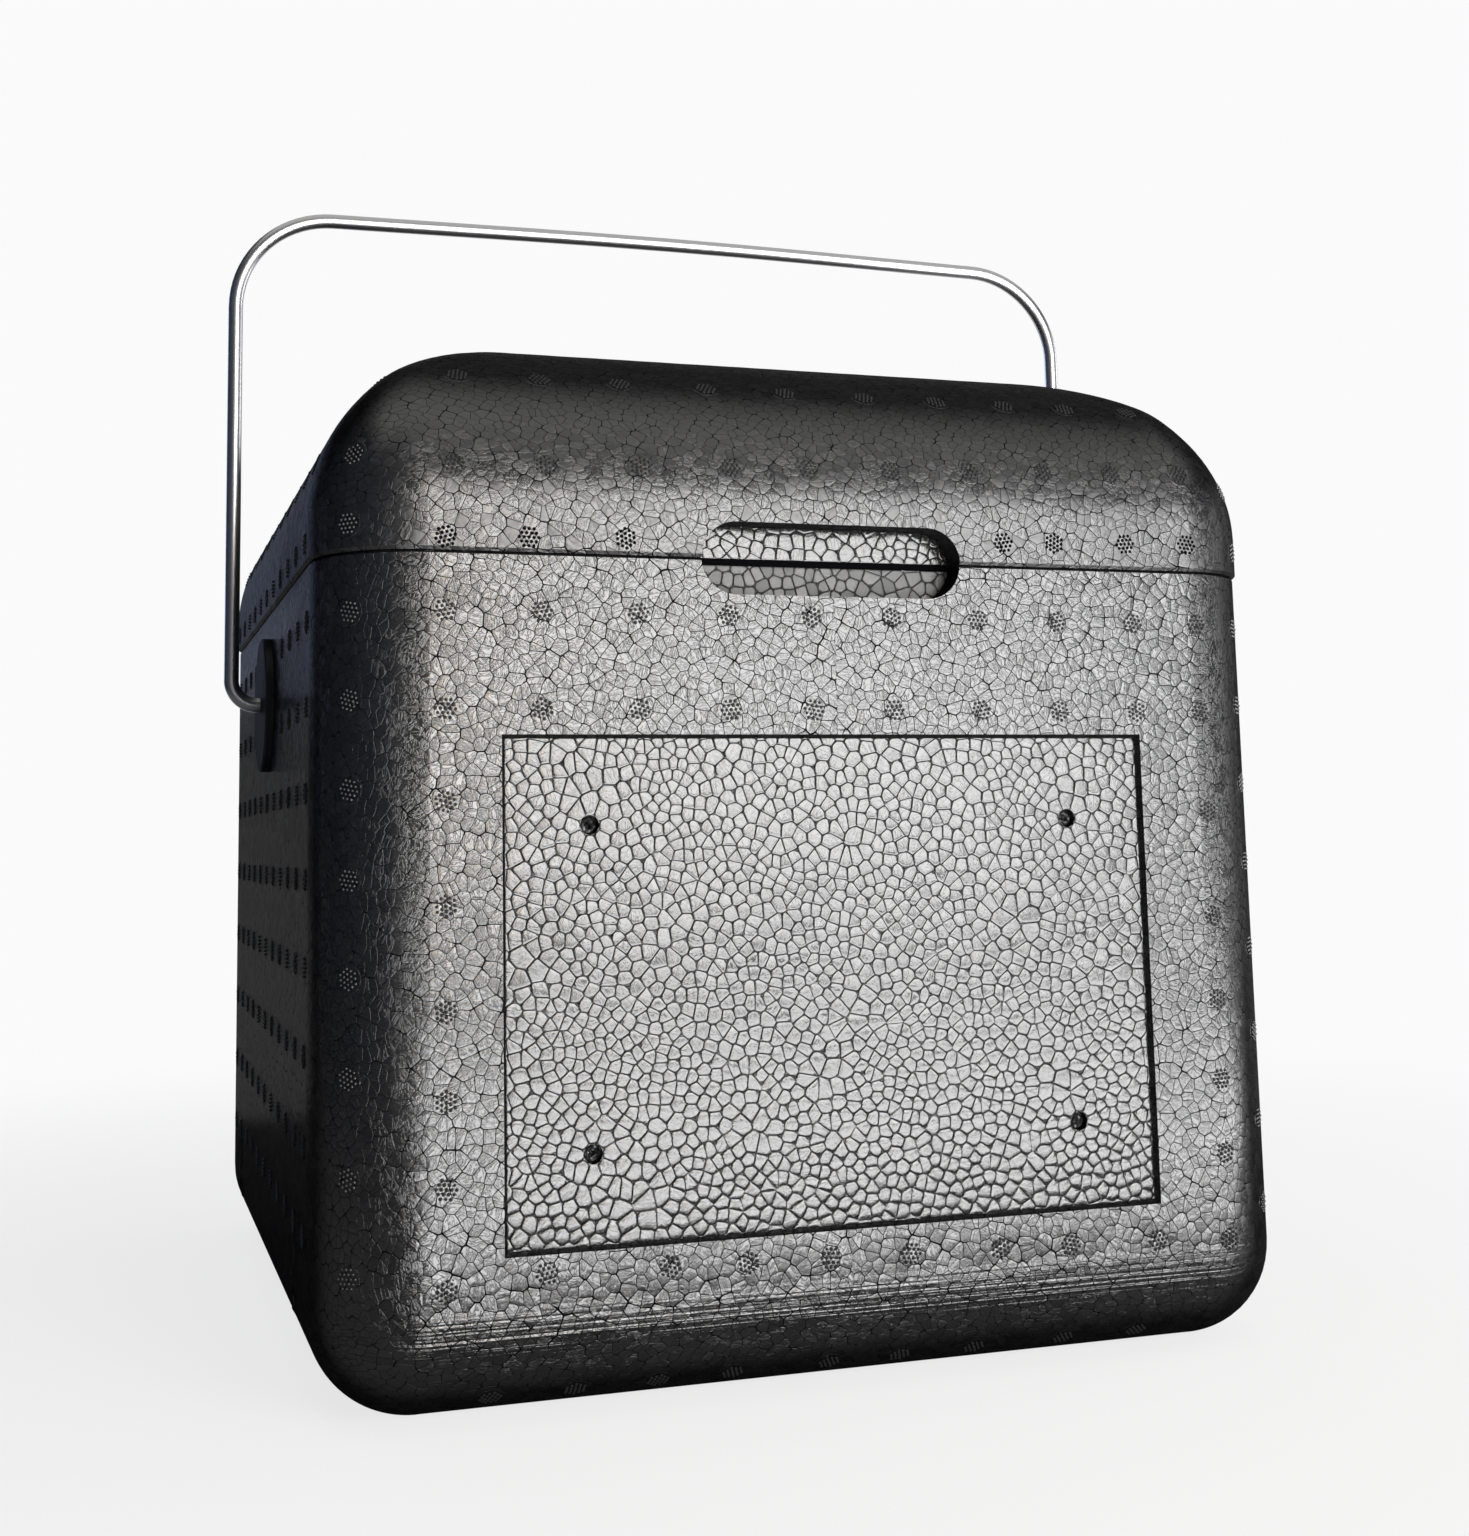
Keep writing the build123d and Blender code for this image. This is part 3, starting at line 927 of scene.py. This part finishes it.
def mould_marks(name, find, spots, rng, pip_size, disc_material, pip_material):
    """Round marks of the mould's steam vents: a smooth low disc with nineteen pips.

    Each spot is a point outside the surface and the direction to look for it.
    """
    points, faces = [], []
    disc_points = 3 * SIDES + 1
    pip_points = PIP_SIDES * len(PIP_PROFILE) + 1
    per_mark = disc_points + pip_points * len(pip_pattern())
    for start, direction in spots:
        middle, normal = find(start, direction)
        spin = rng.uniform(0, 2 * pi)
        if middle is None or normal.dot(Vector(direction)) > -0.2:
            continue
        first, second = tangents(normal, spin)
        settled = []
        for radius in (VENT_RADIUS, VENT_RADIUS - VENT_BEVEL):
            for i in range(SIDES):
                angle = 2 * pi * i / SIDES
                around = first * cos(angle) + second * sin(angle)
                above = middle + around * radius + normal * LOOK_FROM
                settled.append(find(above, -normal)[0])
        pip_middles = [
            find(middle + first * x + second * y + normal * LOOK_FROM, -normal)[0]
            for x, y in pip_pattern()
        ]
        if None in settled or None in pip_middles:
            continue
        # The rim and the top have vertices of their own, so that the top shades flat
        base = len(points)
        points.extend(p - normal * 0.01 for p in settled[:SIDES])
        points.extend(p + normal * VENT_RISE for p in settled[SIDES:] * 2)
        points.append(middle + normal * VENT_RISE)
        for i in range(SIDES):
            after = (i + 1) % SIDES
            top = base + 2 * SIDES
            faces.append((base + i, base + after, base + SIDES + after, base + SIDES + i))
            faces.append((top + i, top + after, top + SIDES))
        # A pip is the foam that was pressed into one hole of the vent
        for pip in pip_middles:
            size = pip_size * rng.uniform(0.85, 1.12)
            base = len(points)
            for width, rise in PIP_PROFILE:
                for i in range(PIP_SIDES):
                    angle = 2 * pi * i / PIP_SIDES
                    around = first * cos(angle) + second * sin(angle)
                    points.append(pip + around * size * width + normal * (VENT_RISE + rise))
            points.append(pip + normal * (VENT_RISE + PIP_RISE))
            last = base + PIP_SIDES * (len(PIP_PROFILE) - 1)
            for i in range(PIP_SIDES):
                after = (i + 1) % PIP_SIDES
                for ring in range(base, last, PIP_SIDES):
                    upper = ring + PIP_SIDES
                    faces.append((ring + i, ring + after, upper + after, upper + i))
                faces.append((last + i, last + after, last + PIP_SIDES))
    marks = make_object(name, [p * MM for p in points], faces)
    on_disc = [max(p.vertices) % per_mark < disc_points for p in marks.data.polygons]
    for material in (disc_material, pip_material):
        marks.data.materials.append(material)
    marks.data.polygons.foreach_set("material_index", [0 if disc else 1 for disc in on_disc])
    return marks


def skirt_marks(name, find, spots, rng):
    """Vent marks on the lid's skirt, ground flush: only the pip ends show, as flat hexagons in the
    grooves' painted-shade colour.
    """
    points, faces = [], []
    for start, direction in spots:
        middle, normal = find(start, direction)
        first, second = tangents(normal, rng.uniform(0, 2 * pi))
        for x, y in pip_pattern():
            base = len(points)
            for i in range(PIP_SIDES):
                angle = 2 * pi * i / PIP_SIDES
                points.append(
                    middle + first * (x + PIP_RADIUS * cos(angle))
                    + second * (y + PIP_RADIUS * sin(angle)) + normal * 0.003
                )
            faces.append(tuple(base + i for i in range(PIP_SIDES)))
    marks = make_object(name, [p * MM for p in points], faces)
    # Painted shade: every point counts as a groove bottom, so the pip ends take the dark groove
    # colour
    layer = marks.data.attributes.new("groove", "FLOAT", "POINT")
    layer.data.foreach_set("value", [1.0] * len(points))
    return marks


def crumpled_patch(points, faces, middle, normal, radius, low, high, rng):
    """Adds a small round patch of torn and crumpled foam."""
    first, second = tangents(normal, rng.uniform(0, pi))
    base = len(points)
    points.append(middle + normal * rng.uniform(low, high))
    for ring in range(1, PATCH_RINGS + 1):
        for i in range(PATCH_SIDES):
            angle = 2 * pi * (i + 0.5 * (ring % 2) + rng.uniform(-0.2, 0.2)) / PATCH_SIDES
            rise = rng.uniform(low, high) if ring < PATCH_RINGS else 0.0
            reach = radius * ring / PATCH_RINGS
            points.append(
                middle + (first * cos(angle) + second * sin(angle)) * reach + normal * rise
            )
    for i in range(PATCH_SIDES):
        faces.append((base, base + 1 + i, base + 1 + (i + 1) % PATCH_SIDES))
    for ring in range(PATCH_RINGS - 1):
        inner = base + 1 + PATCH_SIDES * ring
        outer = inner + PATCH_SIDES
        for i in range(PATCH_SIDES):
            after = (i + 1) % PATCH_SIDES
            faces.append((inner + i, outer + i, outer + after, inner + after))


def pit_crumple():
    """Torn foam at the bottom of the four screw-head pits."""
    rng = np.random.default_rng(21)
    points, faces = [], []
    floor = front_face / MM + PANEL_DEPTH + PIT_DEPTH
    for side in (-1, 1):
        for level in (-1, 1):
            middle = Vector((side * PIT_SPACING[0] / 2, floor - 0.02,
                             PANEL_CENTRE + level * PIT_SPACING[1] / 2))
            outward = Vector((0, -1, 0))
            crumpled_patch(points, faces, middle, outward, PIT_RADIUS - 0.05, 0.1, 1.5, rng)
    return make_object("pit_crumple", [p * MM for p in points], faces, smooth=False)


def filler_marks(find):
    """Rings and torn sprues left by the bead fillers, low on both sides."""
    rng = np.random.default_rng(22)
    points, faces = [], []
    for side in (-1, 1):
        for y in FILLER_PLACES:
            middle, normal = find((side * 200, y, 41), (-side, 0, 0))
            first, second = tangents(normal, 0.0)
            base = len(points)
            for radius, rise in FILLER_PROFILE:
                for i in range(SIDES):
                    angle = 2 * pi * i / SIDES
                    around = first * cos(angle) + second * sin(angle)
                    points.append(middle + around * radius + normal * rise)
            points.append(middle + normal * 0.04)
            for ring in range(len(FILLER_PROFILE) - 1):
                for i in range(SIDES):
                    after = (i + 1) % SIDES
                    outer, inner = base + SIDES * ring, base + SIDES * (ring + 1)
                    faces.append((outer + i, outer + after, inner + after, inner + i))
            last = base + SIDES * (len(FILLER_PROFILE) - 1)
            for i in range(SIDES):
                faces.append((last + i, last + (i + 1) % SIDES, last + SIDES))
            low_middle, low_normal = find((side * 200, y - 2, 27), (-side, 0, 0))
            crumpled_patch(points, faces, low_middle, low_normal, 4.5, 0.1, 0.8, rng)
    return make_object("filler_marks", [p * MM for p in points], faces)


def vent_spots():
    """Where the mould's vents are, by side: a point outside and a direction for each."""
    front = [(x, z) for z in (241, 211) for x in (-127, -97, -66, -36, -8, 20, 51, 80, 109, 134)]
    front += [(-127, z) for z in (183, 152, 121, 95, 70, 41)]
    front += [(135, z) for z in (177, 142, 114, 88, 64, 36)]
    front += [(x, 41 - 0.03 * x) for x in (-97, -59, -34, -7, 20, 51, 76, 108)]
    front += [(x, 7) for x in (-112, -86, -60, -36, -4, 20, 46, 78, 105)]
    lid_front = [(x, 290 + 0.03 * x) for x in (-124, -95, -64, -34, -7, 22, 51, 79, 105, 132)]
    lid_front += [(x, 320) for x in (-119, -92, -65, -35, -7, 22, 49, 75, 99, 124)]
    lid_skirt = [(x, 266 + 0.02 * x) for x in (-127, -101, -70, 61, 80, 107, 131)]
    levels = np.arange(8) * VENT_PITCH + 52
    spots = {"front": [((x, -200, z), (0, 1, 0)) for x, z in front]}
    spots["lid_front"] = [((x, -200, z), (0, 1, 0)) for x, z in lid_front]
    spots["lid_skirt"] = [((x, -200, z), (0, 1, 0)) for x, z in lid_skirt]
    across = (np.arange(10) - 4.5) * VENT_PITCH
    along = (np.arange(11) - 5) * VENT_PITCH
    spots["back"] = [((x, 200, z), (0, -1, 0)) for z in levels for x in across]
    spots["lid_back"] = [((x, 200, z), (0, -1, 0)) for z in (292, 320) for x in across]
    spots["lid_skirt"] += [((x, 200, 266), (0, -1, 0)) for x in across]
    for side, side_name in ((-1, "left"), (1, "right")):
        spots[side_name] = [
            ((side * 200, y, z), (-side, 0, 0)) for z in levels for y in along
            if np.hypot(y, z - PIVOT_HEIGHT) > 33
        ]
        spots[f"lid_{side_name}"] = [
            ((side * 200, y, z), (-side, 0, 0)) for z in (266, 292, 320) for y in along
        ]
    top = (np.arange(7) - 3) * VENT_PITCH
    spots["lid_top"] = [((x, y, 360), (0, 0, -1)) for x in top for y in top]
    corners, lid_corners = [], []
    for side in (-1, 1):
        for end in (-1, 1):
            for z in (241, 214, 187, 160, 131, 102, 73, 45):
                corners.append(((side * 180, end * 190, z), (-side, -end, 0)))
            for z in (268, 290):
                lid_corners.append(((side * 180, end * 190, z), (-side, -end, 0)))
    spots["corners"] = corners
    spots["lid_corners"] = lid_corners
    return spots


bpy.context.scene.view_settings.view_transform = "Standard"
make_camera()
make_stage()
make_lights()

foam = moulded_bead_foam("moulded_bead_foam")
relief_foam = pressed_bead_foam("pressed_bead_foam")
dull_relief_foam = pressed_bead_foam("worn_bead_foam", (0.42, 0.56))
torn_foam = steamed_foam_skin("torn_foam_skin", (0.30, 0.45))
matt_pip_foam = torn_foam_ends("torn_foam_ends")
glossy_pip_foam = steamed_foam_skin("steamed_foam_skin", (0.27, 0.36))
wire = drawn_stainless_wire()
plastic = moulded_black_plastic()
for name in ("tub", "lid"):
    dress(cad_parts[name], foam)
for name in ("handle", "left_retaining_cap", "right_retaining_cap"):
    dress(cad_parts[name], wire)
for name in ("left_hub", "right_hub", "left_backing_plate", "right_backing_plate"):
    dress(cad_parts[name], plastic)

find_surface = {name: surface_finder(name) for name in ("tub", "lid")}
mark_rng = np.random.default_rng(31)
foam_pieces = [
    (panel_relief(), "tub", relief_foam),
    (notch_relief("tub_notch_beads", -1, 5), "tub", dull_relief_foam),
    (notch_relief("lid_notch_beads", 1, 6), "lid", relief_foam),
    (pit_crumple(), "tub", torn_foam),
    (filler_marks(find_surface["tub"]), "tub", torn_foam),
]
for side, spots in vent_spots().items():
    body = "lid" if side.startswith("lid") else "tub"
    find = find_surface[body]
    if side == "lid_skirt":
        marks = skirt_marks("lid_skirt_marks", find, spots, mark_rng)
        foam_pieces.append((marks, body, relief_foam))
    else:
        pip_size, pip_foam = PIP_RADIUS, matt_pip_foam
        if side.endswith("corners"):
            pip_size, pip_foam = WORN_PIP_RADIUS, glossy_pip_foam
        marks = mould_marks(f"{side}_vent_marks", find, spots, mark_rng, pip_size, foam, pip_foam)
        foam_pieces.append((marks, body, None))
for piece, body, material in foam_pieces:
    if material:
        dress(piece, material)
    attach(piece, body)
